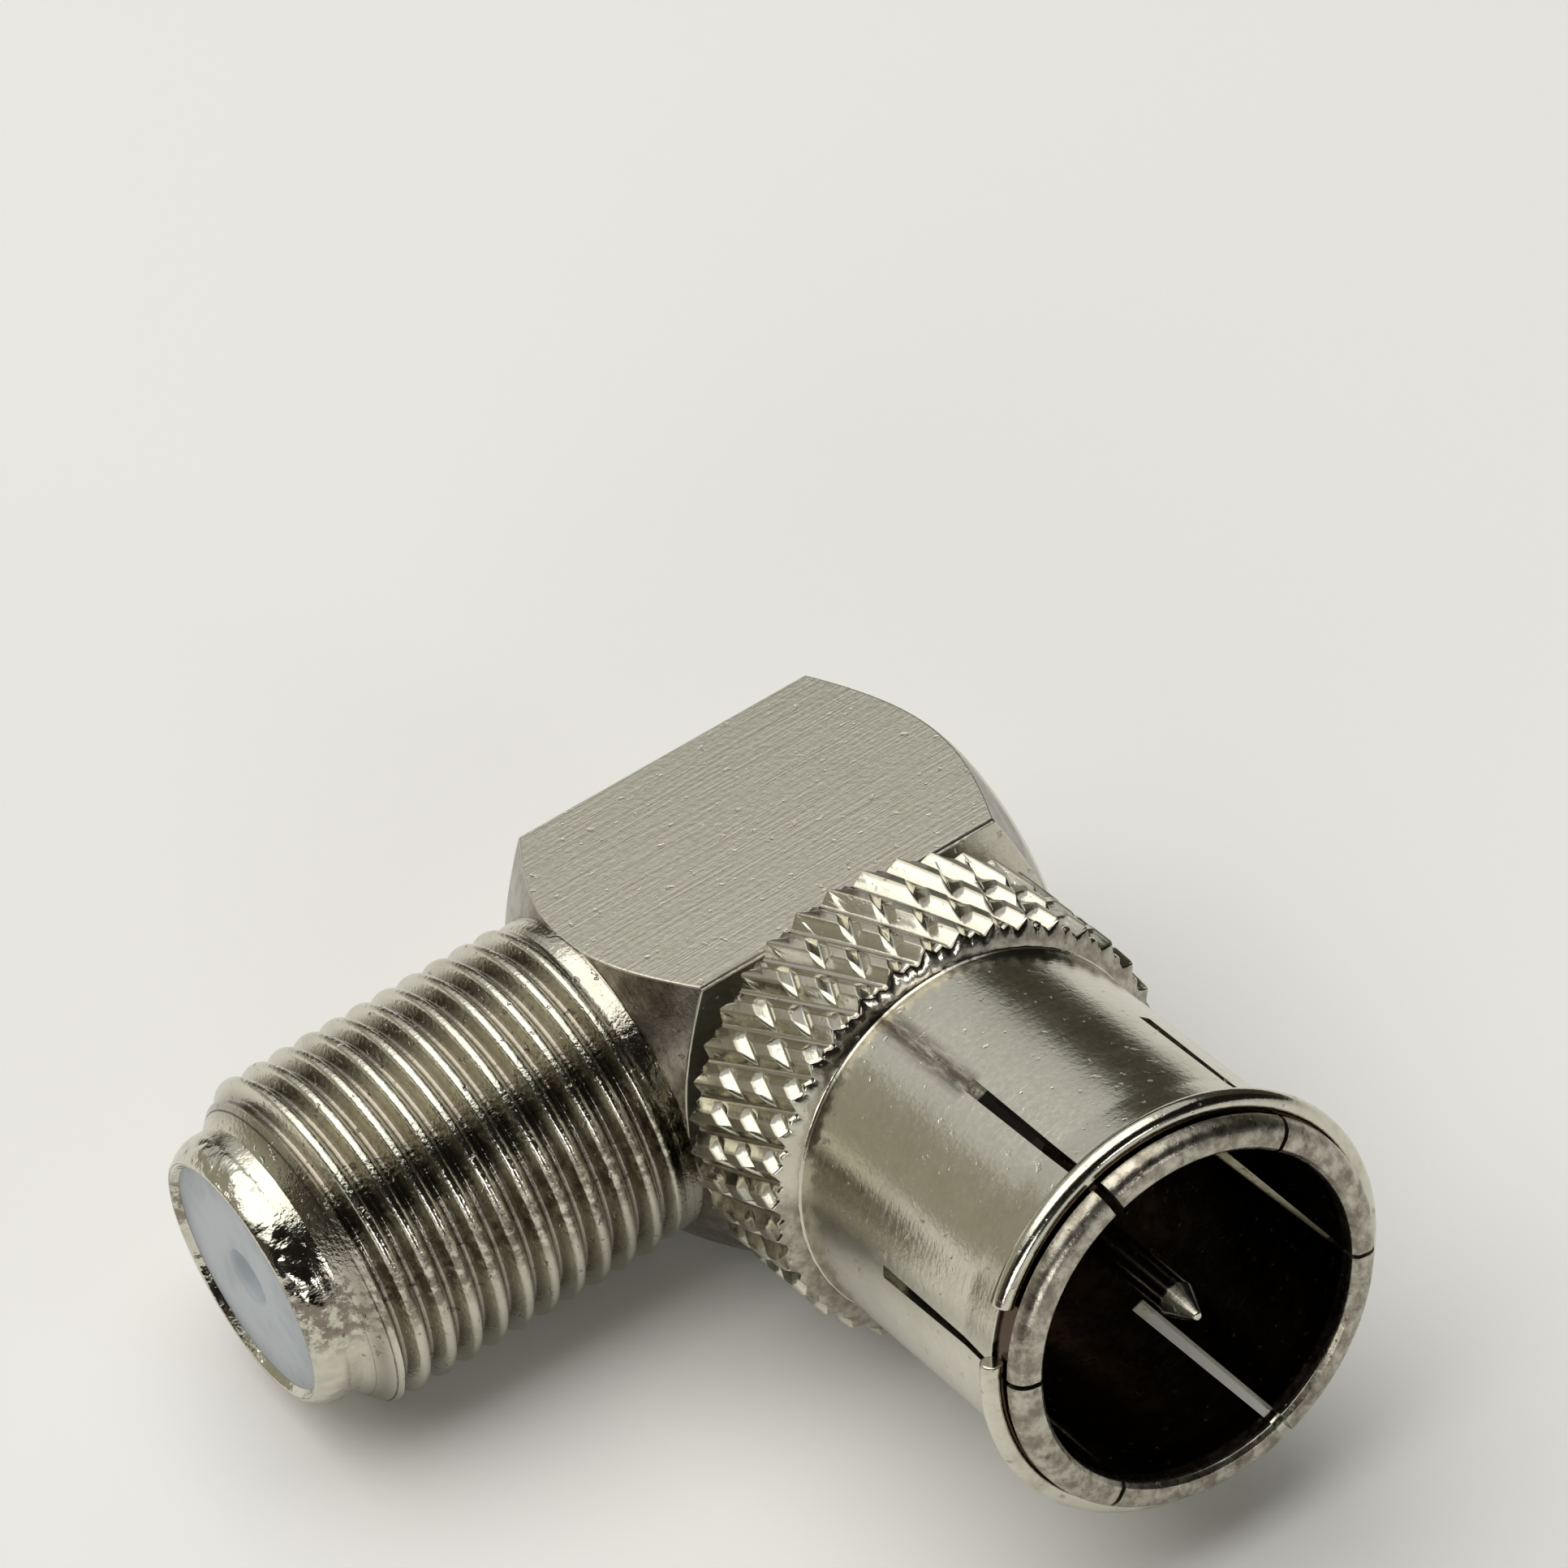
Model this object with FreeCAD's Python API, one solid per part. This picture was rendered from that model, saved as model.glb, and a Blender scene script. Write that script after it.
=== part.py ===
import FreeCAD, Part
import math
import os

# Right-angle F-type adapter, in millimetres: a threaded jack on a square block,
# with a springy push-on sleeve at right angles to it. The origin is the centre
# of the block's plain end face. The jack points along -Y and the sleeve along +X.

# Play left between pieces that are pressed or slid together
fit_gap = 0.01

# Block, cut from square bar, turned to a cone at both ends
bar_width = 9.2
bar_edge_bevel = 0.1
end_to_sleeve_axis = 6.3
plain_face_radius = 4.25
plain_cone_angle = 30.0
shoulder_reach = 5.5
jack_cone_angle = 38.5

# Jack barrel, a plain rod of the thread's outer size, and its nose
thread_radius = 4.7
barrel_length = 9.15
nose_radius = 3.86
nose_length = 1.21
nose_wall = 0.44

# Lip folded over the jack's insulator
fold_length = 0.75
fold_bow = 0.06
lip_overlap = 0.16
lip_width = 0.27
lip_edge = 0.08

# Bores of the body, each a ledge smaller than the one in front of it
seat_ledge = 0.42
rear_ledge = 0.8
main_bore_reach = 5.0
rear_bore_overrun = 2.0
side_wall = 0.4
pin_passage_radius = 1.6

# Insulator seen in the jack's mouth
insulator_recess = 0.2
insulator_thickness = 2.1
funnel_radius = 0.8
funnel_depth = 0.7
conductor_hole_radius = 0.7
contact_pocket = 1.0

# Insulator that carries the back of the contact
rear_flange_length = 2.0

# Socket contact, a split tube with a cross-drilled tail
contact_radius = 1.15
contact_nib = 0.25
contact_tail = 0.95
contact_bore_radius = 0.5
contact_bore_depth = 8.0
contact_slot_width = 0.25
contact_slot_length = 5.0

# Push-on shell: neck pressed into the block, knurled collar, slotted sleeve
neck_radius = 3.9
collar_gap = 0.75
collar_length = 3.9
collar_radius = 6.0
collar_face_rise = 0.25
collar_face_bow = 0.04
foot_fillet = 0.12
sleeve_radius = 5.25
sleeve_wall = 0.65
sleeve_length = 10.1
sleeve_depth = 10.0

# Front of the sleeve: flare, ring groove, land and rounded mouth
flare_length = 1.3
flare_rise = 0.09
groove_play = 0.14
groove_depth = 0.02
land_length = 0.52
land_rise = 0.15
mouth_round = 0.45
mouth_bevel = 0.13

# Slots that part the sleeve into fingers, clocked from +Z towards the jack
slot_count = 6
slot_width = 0.36
slot_length = 6.25
first_slot_clock = 18.0

# Knurl: two crossing sets of V grooves round the collar
knurl_count = 36
knurl_half_angle = 45.0
long_helix = 20.0
long_depth = 0.3
long_floor = 0.12
long_clock = 0.0
cross_helix = -24.0
cross_depth = 0.24
cross_floor = 0.06
cross_clock = 8.6

# Open spring ring in the groove
wire_radius = 0.3
ring_play = 0.02
ring_gap_angle = 16.0
ring_gap_clock = 65.7

# Centre pin and the insulator that carries it
pin_radius = 0.5
pin_setback = 0.15
pin_cone_length = 0.9
pin_tip_radius = 0.13
pin_tail = 0.8
pin_insulator_radius = 2.3

# How far a cutting tool stands out past the metal that it cuts
tool_margin = 0.05

# Stations along the jack, from the sleeve's axis
bar_half = bar_width / 2
chamfer_start = shoulder_reach + barrel_length
nose_start = chamfer_start + thread_radius - nose_radius
jack_reach = nose_start + nose_length
insulator_front = jack_reach - insulator_recess
insulator_back = insulator_front - insulator_thickness
contact_front = insulator_back + contact_pocket

# Radii inside the body
insulator_radius = nose_radius - nose_wall
main_bore_radius = insulator_radius - seat_ledge
rear_bore_radius = main_bore_radius - rear_ledge

# Stations along the sleeve, from the jack's axis
neck_start = rear_bore_radius + side_wall
collar_start = bar_half + collar_gap
collar_front = collar_start + collar_length
sleeve_start = collar_front + collar_face_rise
mouth = sleeve_start + sleeve_length
sleeve_floor = mouth - sleeve_depth
groove_front = mouth - land_length
groove_back = groove_front - 2 * wire_radius - groove_play

# Radii of the sleeve
sleeve_bore_radius = sleeve_radius - sleeve_wall
groove_floor_radius = sleeve_radius - groove_depth
land_radius = sleeve_radius + land_rise
ring_radius = groove_floor_radius + ring_play + wire_radius

origin = FreeCAD.Vector(0, 0, 0)
x_axis = FreeCAD.Vector(1, 0, 0)
z_axis = FreeCAD.Vector(0, 0, 1)


# Solid turned about X from (distance, radius) corners. A third entry in a
# corner is the point that an arc passes through on its way to that corner.
def turned(corners):
    points = [FreeCAD.Vector(corner[0], 0, corner[1]) for corner in corners]
    edges = []
    for index, corner in enumerate(corners):
        before = points[index - 1]
        if len(corner) == 3:
            through = FreeCAD.Vector(corner[2][0], 0, corner[2][1])
            edges.append(Part.Arc(before, through, points[index]).toShape())
        else:
            edges.append(Part.LineSegment(before, points[index]).toShape())
    profile = Part.Face(Part.Wire(Part.sortEdges(edges)[0]))
    return profile.revolve(origin, x_axis, 360)


# Round bar along X
def rod(start, end, radius):
    return Part.makeCylinder(radius, end - start, FreeCAD.Vector(start, 0, 0), x_axis)


# Point that lifts an arc off the middle of the line between two corners
def bowed(first, last, bow):
    run = last[0] - first[0]
    drop = last[1] - first[1]
    length = math.hypot(run, drop)
    return ((first[0] + last[0]) / 2 - bow * drop / length, (first[1] + last[1]) / 2 + bow * run / length)


# Middle point of a quarter circle, from its centre and the signs of its quadrant
def quarter(centre, radius, along_sign, radial_sign):
    reach = radius * math.cos(math.radians(45))
    return (centre[0] + along_sign * reach, centre[1] + radial_sign * reach)


# Turns a shape about X by a clock angle, measured from +Z towards the jack
def clocked(shape, angle):
    turned_shape = shape.copy()
    turned_shape.rotate(origin, x_axis, angle)
    return turned_shape


# Moves a shape made along X from the crossing of the two axes into the part's frame
def set_along(shape, turn):
    shape.rotate(origin, z_axis, turn)
    shape.translate(FreeCAD.Vector(0, -end_to_sleeve_axis, 0))
    return shape


def along_jack(shape):
    return set_along(shape, -90)


def along_sleeve(shape):
    return set_along(shape, 0)


# Square bar with bevelled long edges, running along the jack
def square_bar():
    flat = bar_half - bar_edge_bevel
    corners = []
    for side in range(4):
        angle = math.radians(90 * side)
        for across in (-flat, flat):
            y = bar_half * math.cos(angle) - across * math.sin(angle)
            z = bar_half * math.sin(angle) + across * math.cos(angle)
            corners.append(FreeCAD.Vector(-end_to_sleeve_axis, y, z))
    section = Part.Face(Part.makePolygon(corners + corners[:1]))
    return section.extrude(FreeCAD.Vector(end_to_sleeve_axis + shoulder_reach, 0, 0))


# Turned outside of the block: a cone at the plain end and one at the jack
def block_envelope():
    corner_radius = bar_half * math.sqrt(2)
    plain_run = (corner_radius - plain_face_radius) * math.tan(math.radians(plain_cone_angle))
    jack_run = (corner_radius - thread_radius) * math.tan(math.radians(jack_cone_angle))
    return turned([
        (-end_to_sleeve_axis, 0),
        (-end_to_sleeve_axis, plain_face_radius),
        (-end_to_sleeve_axis + plain_run, corner_radius),
        (shoulder_reach - jack_run, corner_radius),
        (shoulder_reach, thread_radius),
        (shoulder_reach, 0),
    ])


# Outside of the jack, from the block's shoulder to the folded lip
def jack_barrel():
    fold_start = (jack_reach - fold_length, nose_radius)
    lip = (jack_reach, insulator_radius - lip_overlap + lip_width)
    return turned([
        (shoulder_reach, 0),
        (shoulder_reach, thread_radius),
        (chamfer_start, thread_radius),
        (nose_start, nose_radius),
        fold_start,
        lip + (bowed(fold_start, lip, fold_bow),),
        (jack_reach, 0),
    ])


# Stepped hole down the jack, narrowed at the front by the folded lip
def jack_bore():
    seat_radius = insulator_radius + fit_gap
    lip_radius = insulator_radius - lip_overlap
    return turned([
        (-rear_bore_overrun, 0),
        (-rear_bore_overrun, rear_bore_radius),
        (main_bore_reach, rear_bore_radius),
        (main_bore_reach, main_bore_radius),
        (insulator_back, main_bore_radius),
        (insulator_back, seat_radius),
        (insulator_front, seat_radius),
        (jack_reach - lip_edge, lip_radius),
        (jack_reach, lip_radius),
        (jack_reach, 0),
    ])


# Hole in the block's side for the shell's neck, and the pin's way through
def side_bore():
    seat = rod(neck_start - fit_gap, bar_width, neck_radius + fit_gap)
    return seat.fuse(rod(0, bar_width, pin_passage_radius))


def body_block():
    outside = square_bar().common(block_envelope()).fuse(jack_barrel())
    body = along_jack(outside.cut(jack_bore()))
    return body.cut(along_sleeve(side_bore())).removeSplitter()


def jack_insulator():
    return along_jack(turned([
        (insulator_back, contact_radius + fit_gap),
        (insulator_back, insulator_radius),
        (insulator_front, insulator_radius),
        (insulator_front, funnel_radius),
        (insulator_front - funnel_depth, conductor_hole_radius),
        (contact_front, conductor_hole_radius),
        (contact_front, contact_radius + fit_gap),
    ]))


def socket_contact():
    tube = turned([
        (-contact_tail, 0),
        (-contact_tail, contact_radius),
        (contact_front - contact_nib, contact_radius),
        (contact_front, contact_radius - contact_nib),
        (contact_front, contact_bore_radius),
        (contact_front - contact_bore_depth, contact_bore_radius),
        (contact_front - contact_bore_depth, 0),
    ])
    slot = Part.makeBox(
        contact_slot_length + tool_margin, 2 * contact_radius + tool_margin, contact_slot_width,
        FreeCAD.Vector(contact_front - contact_slot_length, -contact_radius - tool_margin / 2, -contact_slot_width / 2),
    )
    pin_hole = Part.makeCylinder(
        pin_radius + fit_gap, 2 * contact_radius + 2 * tool_margin,
        FreeCAD.Vector(0, -contact_radius - tool_margin, 0), FreeCAD.Vector(0, 1, 0),
    )
    return along_jack(tube.cut(slot).cut(pin_hole))


def rear_insulator():
    body_radius = rear_bore_radius - fit_gap
    hole_radius = contact_radius + fit_gap
    bush = along_jack(turned([
        (-rear_bore_overrun, 0),
        (-rear_bore_overrun, body_radius),
        (main_bore_reach, body_radius),
        (main_bore_reach, main_bore_radius - fit_gap),
        (main_bore_reach + rear_flange_length, main_bore_radius - fit_gap),
        (main_bore_reach + rear_flange_length, hole_radius),
        (-contact_tail - fit_gap, hole_radius),
        (-contact_tail - fit_gap, 0),
    ]))
    return bush.cut(along_sleeve(rod(0, rear_bore_radius, pin_radius + fit_gap)))


# One set of straight V grooves, leaning to the sleeve's axis by a helix angle
def knurl_grooves(helix, depth, floor, first_clock):
    rise = depth + tool_margin
    bottom = collar_radius - depth
    spread = floor / 2 + rise * math.tan(math.radians(knurl_half_angle))
    run = collar_length + 2 * collar_face_rise + 4 * tool_margin
    length = run / math.cos(math.radians(helix)) + 2 * spread
    corners = [
        FreeCAD.Vector(-length / 2, -floor / 2, bottom),
        FreeCAD.Vector(-length / 2, floor / 2, bottom),
        FreeCAD.Vector(-length / 2, spread, bottom + rise),
        FreeCAD.Vector(-length / 2, -spread, bottom + rise),
    ]
    section = Part.Face(Part.makePolygon(corners + corners[:1]))
    groove = section.extrude(FreeCAD.Vector(length, 0, 0))
    groove.rotate(origin, z_axis, helix)
    groove.translate(FreeCAD.Vector((collar_start + collar_front) / 2, 0, 0))
    step = 360 / knurl_count
    return [clocked(groove, first_clock + step * index) for index in range(knurl_count)]


# Slots from the mouth back along the sleeve
def finger_slots():
    slot = Part.makeBox(
        slot_length + tool_margin, slot_width, land_rise + sleeve_wall + 2 * tool_margin,
        FreeCAD.Vector(mouth - slot_length, -slot_width / 2, sleeve_bore_radius - tool_margin),
    )
    step = 360 / slot_count
    return [clocked(slot, first_slot_clock + step * index) for index in range(slot_count)]


def push_on_shell():
    insulator_bore = pin_insulator_radius + fit_gap
    foot_centre = (sleeve_start + foot_fillet, sleeve_radius + foot_fillet)
    collar_edge = (collar_front, collar_radius)
    face_end = (sleeve_start, foot_centre[1])
    mouth_centre = (mouth - mouth_round, land_radius - mouth_round)
    shell = turned([
        (neck_start, insulator_bore),
        (neck_start, neck_radius),
        (collar_start, neck_radius),
        (collar_start, collar_radius),
        collar_edge,
        face_end + (bowed(collar_edge, face_end, collar_face_bow),),
        (foot_centre[0], sleeve_radius, quarter(foot_centre, foot_fillet, -1, -1)),
        (groove_back - flare_length, sleeve_radius),
        (groove_back, sleeve_radius + flare_rise),
        (groove_back, groove_floor_radius),
        (groove_front, groove_floor_radius),
        (groove_front, land_radius),
        (mouth_centre[0], land_radius),
        (mouth, mouth_centre[1], quarter(mouth_centre, mouth_round, 1, 1)),
        (mouth, sleeve_bore_radius + mouth_bevel),
        (mouth - mouth_bevel, sleeve_bore_radius),
        (sleeve_floor, sleeve_bore_radius),
        (sleeve_floor, insulator_bore),
    ])
    shell = shell.cut(finger_slots())
    shell = shell.cut(knurl_grooves(long_helix, long_depth, long_floor, long_clock))
    shell = shell.cut(knurl_grooves(cross_helix, cross_depth, cross_floor, cross_clock))
    return along_sleeve(shell)


# Round wire bent to an open ring and cut off square, lying at the back of its groove
def spring_ring():
    centre = FreeCAD.Vector(groove_back + ring_play + wire_radius, 0, ring_radius)
    section = Part.Face(Part.Wire(Part.makeCircle(wire_radius, centre, FreeCAD.Vector(0, 1, 0))))
    bend = section.revolve(origin, x_axis, 360 - ring_gap_angle)
    return along_sleeve(clocked(bend, ring_gap_clock + ring_gap_angle / 2))


def centre_pin():
    tip = mouth - pin_setback
    return along_sleeve(turned([
        (-pin_tail, 0),
        (-pin_tail, pin_radius),
        (tip - pin_cone_length, pin_radius),
        (tip, pin_tip_radius),
        (tip, 0),
    ]))


def pin_insulator():
    bush = rod(neck_start, sleeve_floor, pin_insulator_radius)
    return along_sleeve(bush.cut(rod(0, mouth, pin_radius + fit_gap)))


nodes = {
    "body_block": body_block,
    "jack_insulator": jack_insulator,
    "socket_contact": socket_contact,
    "rear_insulator": rear_insulator,
    "push_on_shell": push_on_shell,
    "spring_ring": spring_ring,
    "centre_pin": centre_pin,
    "pin_insulator": pin_insulator,
}

os.makedirs("parts", exist_ok=True)
for name, build in nodes.items():
    build().exportStep("parts/" + name + ".step")
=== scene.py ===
import math

import bmesh
import bpy
import numpy as np
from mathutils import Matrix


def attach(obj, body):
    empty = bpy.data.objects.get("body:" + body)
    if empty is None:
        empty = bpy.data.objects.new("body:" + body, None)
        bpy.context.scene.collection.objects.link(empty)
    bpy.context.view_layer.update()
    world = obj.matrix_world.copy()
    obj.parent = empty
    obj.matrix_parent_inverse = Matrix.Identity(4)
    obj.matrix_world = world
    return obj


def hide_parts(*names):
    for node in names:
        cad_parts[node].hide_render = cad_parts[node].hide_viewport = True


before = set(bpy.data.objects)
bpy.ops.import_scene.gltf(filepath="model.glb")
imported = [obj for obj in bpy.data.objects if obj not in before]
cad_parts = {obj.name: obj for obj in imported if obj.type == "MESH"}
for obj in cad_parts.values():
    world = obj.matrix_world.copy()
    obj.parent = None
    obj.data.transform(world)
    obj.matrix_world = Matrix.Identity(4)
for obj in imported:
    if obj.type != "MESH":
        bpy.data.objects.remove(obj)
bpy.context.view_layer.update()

# Sizes are in millimetres and degrees here, and become metres when a mesh is written.
scene = bpy.context.scene
turn = 2 * math.pi
sleeveAxis = 6.3  # from the block's plain end to the sleeve's axis
print("frame loaded:", ", ".join(sorted(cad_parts)))


# Shader maths: a socket that + - * / and ** work on

class Wire:
    def __init__(self, tree, socket=None):
        self.tree = tree
        self.socket = socket

    def plug(self, target, value):
        if isinstance(value, Wire):
            self.tree.links.new(value.socket, target)
        else:
            target.default_value = value

    def node(self, kind, settings=None, **values):
        # a node of this type: its settings first, then a value or a link for each socket, by name or as in0, in1
        made = self.tree.nodes.new("ShaderNode" + kind)
        for key, value in (settings or {}).items():
            if key == "stops":
                for index, (place, colour) in enumerate(value):
                    stop = made.color_ramp.elements[index] if index < 2 else made.color_ramp.elements.new(place)
                    stop.position, stop.color = place, colour
            else:
                setattr(made, key, value)
        for key, value in values.items():
            numbered = key.startswith("in") and key[2:].isdigit()
            self.plug(made.inputs[int(key[2:]) if numbered else key.replace("_", " ")], value)
        return made

    def pick(self, made, output=0):
        return Wire(self.tree, made.outputs[output])

    def maths(self, operation, *terms):
        made = self.node("Math", {"operation": operation}, **{f"in{i}": term for i, term in enumerate(terms)})
        return self.pick(made)

    def __add__(self, other): return self.maths("ADD", self, other)
    def __radd__(self, other): return self.maths("ADD", other, self)
    def __sub__(self, other): return self.maths("SUBTRACT", self, other)
    def __rsub__(self, other): return self.maths("SUBTRACT", other, self)
    def __mul__(self, other): return self.maths("MULTIPLY", self, other)
    def __rmul__(self, other): return self.maths("MULTIPLY", other, self)
    def __truediv__(self, other): return self.maths("DIVIDE", self, other)
    def __rtruediv__(self, other): return self.maths("DIVIDE", other, self)
    def __pow__(self, other): return self.maths("POWER", self, other)
    def __abs__(self): return self.maths("ABSOLUTE", self)
    def atLeast(self, other): return self.maths("MAXIMUM", self, other)
    def clamped(self): return self.maths("MINIMUM", self, 1.0).atLeast(0.0)

    def step(self, low, high):
        # 0 below low, 1 above high, and t^2 (3 - 2t) between them
        made = self.node("MapRange", {"interpolation_type": "SMOOTHSTEP"}, Value=self, From_Min=low, From_Max=high)
        return self.pick(made)

    def blend(self, first, second):
        # the mix of two colours by this factor
        made = self.node("Mix", {"data_type": "RGBA"}, Factor=self)
        self.plug(made.inputs[6], first)
        self.plug(made.inputs[7], second)
        return self.pick(made, 2)


def opaque(colour, level=1.0):
    return (level * colour[0], level * colour[1], level * colour[2], 1.0)


# Textures on Object coordinates, in millimetres

def place(wire):
    coords = wire.pick(wire.node("TexCoord"), "Object")
    return wire.pick(wire.node("VectorMath", {"operation": "MULTIPLY"}, in0=coords, in1=(1000, 1000, 1000)))


def noise(wire, point, stretch, detail=3.0, rough=0.55, shift=(0.0, 0.0, 0.0)):
    # stretch is how many cells lie in one millimetre along X, Y and Z
    moved = wire.pick(wire.node("Mapping", {"vector_type": "POINT"}, Vector=point, Location=shift, Scale=stretch))
    made = wire.node("TexNoise", {"normalize": True}, Vector=moved, Scale=1.0, Detail=detail, Roughness=rough)
    return wire.pick(made, "Fac")


def distanceFromAxis(wire, point, alongJack):
    # radius about the jack's axis, sqrt(x^2 + z^2), or about the sleeve's, sqrt((y + a)^2 + z^2)
    parts = wire.node("SeparateXYZ", in0=point)
    across = wire.pick(parts, "X") if alongJack else wire.pick(parts, "Y") + sleeveAxis
    return (across * across + wire.pick(parts, "Z") ** 2.0) ** 0.5


# Nickel plate. Each finish says how rough the metal is and how far that wanders, how deep its marks, grain and nicks
# are, in hundredths of a millimetre, and how far its patches, stains, bright grain and nicks take the plate's colour
# to the tarnish's, the stain's or the bare metal's. "marks", "grain", "patches" and "nicks" are stretches of noise, in
# cells per millimetre, along X, Y and Z where there are three.

nickel = {
    "plate": (0.62, 0.60, 0.505), "tarnish": (0.46, 0.43, 0.34), "bare": (0.78, 0.76, 0.68),
    # the near-black colour on the next line is laid on as painted shade and painted dark reflection, and as dirt and
    # scuffs
    "stain": (0.34, 0.285, 0.28), "shadeAndDirt": (0.085, 0.055, 0.038), "leastRough": 0.05,
}
finishes = {
    "turned": {
        "rough": 0.14, "wander": 0.12, "marks": (0.5, 9.0, 0.5), "markDepth": 0.22, "grain": 7.0, "grainDepth": 0.4,
        "patches": 0.6, "patchShade": 0.4, "stains": 0.3, "bright": 0.3,
        "nicks": (9.0, 3.0, 9.0), "nickDepth": 0.3, "nickShine": 0.7,
    },
    "milled": {
        "rough": 0.33, "wander": 0.14, "marks": (8.0, 0.22, 8.0), "markDepth": 1.1, "grain": 6.0, "grainDepth": 0.9,
        "patches": 0.9, "patchShade": 0.35, "stains": 0.3, "bright": 0.35,
        "nicks": (11.0, 1.6, 11.0), "nickDepth": 0.8, "nickShine": 0.7,
    },
    "crimped": {
        "rough": 0.13, "wander": 0.14, "marks": (2.4, 1.3, 2.4), "markDepth": 5.0, "grain": 4.0, "grainDepth": 0.6,
        "patches": 1.4, "patchShade": 0.35, "stains": 0.6, "bright": 0.3,
        "nicks": (7.0, 2.0, 7.0), "nickDepth": 0.6, "nickShine": 0.7,
    },
    "knurled": {
        "rough": 0.34, "wander": 0.12, "marks": (3.0, 3.0, 3.0), "markDepth": 0.5, "grain": 9.0, "grainDepth": 0.6,
        "patches": 0.8, "patchShade": 0.9, "stains": 0.6, "bright": 0.0,
        "nicks": (6.0, 5.0, 5.0), "nickDepth": 0.3, "nickShine": 0.7,
    },
    "rubbed": {
        "rough": 0.30, "wander": 0.2, "marks": (4.0, 4.0, 4.0), "markDepth": 0.9, "grain": 8.0, "grainDepth": 0.8,
        "patches": 1.6, "patchShade": 0.9, "stains": 0.7, "bright": 0.3,
        "nicks": (7.0, 7.0, 7.0), "nickDepth": 0.3, "nickShine": 0.7,
    },
}


def finish(kind, **changes):
    return {**finishes[kind], **changes}


def plated(wire, point, finish, shadeAndDirt=None):
    # colour, roughness and height of one finish at a point
    patches = noise(wire, point, (finish["patches"],) * 3, 4.0, 0.65)
    fine = noise(wire, point, (finish["grain"],) * 3, 3.0, 0.6, (3.1, 1.7, 0.4))
    tool = noise(wire, point, finish["marks"], 3.0, 0.6, (0.7, 2.3, 5.1))
    specks = noise(wire, point, (finish["grain"] * 0.5,) * 3, 2.0, 0.5, (9.2, 4.4, 7.3)).step(0.66, 0.73)
    nicks = noise(wire, point, finish["nicks"], 1.5, 0.5, (2.6, 8.1, 4.9)).step(0.735, 0.76)
    tarnished = patches.step(0.42, 0.75) * finish["patchShade"]
    bared = (fine.step(0.3, 0.8) * finish["bright"] + nicks * finish["nickShine"]).clamped()
    colour = tarnished.blend(opaque(nickel["plate"]), opaque(nickel["tarnish"]))
    colour = (specks * finish["stains"]).blend(colour, opaque(nickel["stain"]))
    colour = bared.blend(colour, opaque(nickel["bare"]))
    if shadeAndDirt:
        colour = shadeAndDirt.blend(colour, opaque(nickel["shadeAndDirt"]))
    rough = finish["rough"] + (patches + fine + tool - 1.5) * finish["wander"] + specks * finish["wander"]
    height = tool * finish["markDepth"] + (fine - specks) * finish["grainDepth"] - nicks * finish["nickDepth"]
    return colour, rough.atLeast(nickel["leastRough"]), height


def nickelPlate(name, finish, shadeAndDirt=None, second=None):
    # the function given after the finish says where the plate is darkened: painted shade, painted dark reflections, and
    # dirt and scuffs; second is a pair: such a function for where another finish lies, and that finish
    material = bpy.data.materials.new(name)
    material.use_nodes = True
    wire = Wire(material.node_tree)
    shader = material.node_tree.nodes["Principled BSDF"]
    point = place(wire)
    dark = shadeAndDirt(wire, point) if shadeAndDirt else None
    colour, rough, height = plated(wire, point, finish, dark)
    if second:
        there = second[0](wire, point)
        otherColour, otherRough, otherHeight = plated(wire, point, second[1], dark)
        colour = there.blend(colour, otherColour)
        rough = rough + (otherRough - rough) * there
        height = height + (otherHeight - height) * there
    wire.plug(shader.inputs["Base Color"], colour)
    wire.plug(shader.inputs["Roughness"], rough)
    shader.inputs["Metallic"].default_value = 1.0
    bump = wire.node("Bump", Strength=1.0, Distance=0.00001, Height=height)
    wire.plug(shader.inputs["Normal"], wire.pick(bump, "Normal"))
    return material


def mouldedPlastic(name, colour, stain, rough, paintedShadeShare):
    # the last argument is how much of the stain lies over 3.4 mm from the jack's axis, as painted shade: at the rim of
    # the jack's insulator, under its lip, and all over the bush at the bottom of the sleeve
    paintedHoleLight = 1.45  # painted light: the hole's colour is lifted so that its shade shows less
    material = bpy.data.materials.new(name)
    material.use_nodes = True
    tree = material.node_tree
    wire = Wire(tree)
    shader = tree.nodes["Principled BSDF"]
    point = place(wire)
    cloud = noise(wire, point, (0.7, 0.7, 0.7), 4.0, 0.6, (0.0, 2.0, 1.0))
    dots = noise(wire, point, (3.2, 3.2, 3.2), 2.0, 0.5, (5.0, 1.0, 3.0)).step(0.68, 0.75)
    rim = distanceFromAxis(wire, point, True).step(2.2, 3.4)
    stainAndShade = (cloud.step(0.45, 0.75) * 0.45 + dots * 0.25 + rim * paintedShadeShare).clamped()
    colourMix = stainAndShade.blend(opaque(colour), opaque(stain))
    # painted light in the hole: its colour is lifted towards a brighter copy of the plastic's
    hole = 1 - distanceFromAxis(wire, point, True).step(0.72, 0.84)
    wire.plug(shader.inputs["Base Color"], (hole * 0.7).blend(colourMix, opaque(colour, paintedHoleLight)))
    wire.plug(shader.inputs["Roughness"], rough + (cloud - 0.5) * 0.2)
    grainy = noise(wire, point, (9.0, 9.0, 9.0), 2.0, 0.5)
    bump = wire.node("Bump", Strength=1.0, Distance=0.00001, Height=grainy * 0.35 + cloud * 0.6)
    wire.plug(shader.inputs["Normal"], wire.pick(bump, "Normal"))
    shader.inputs["IOR"].default_value = 1.4
    return material


block = {
    "halfWidth": 4.6, "edgeCut": 0.1, "plainEnd": -6.3, "plainRadius": 4.25, "plainCone": 30.0,
    "shoulder": 5.5, "shoulderRadius": 4.7, "jackCone": 38.5, "rounding": 0.045,
}


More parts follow.
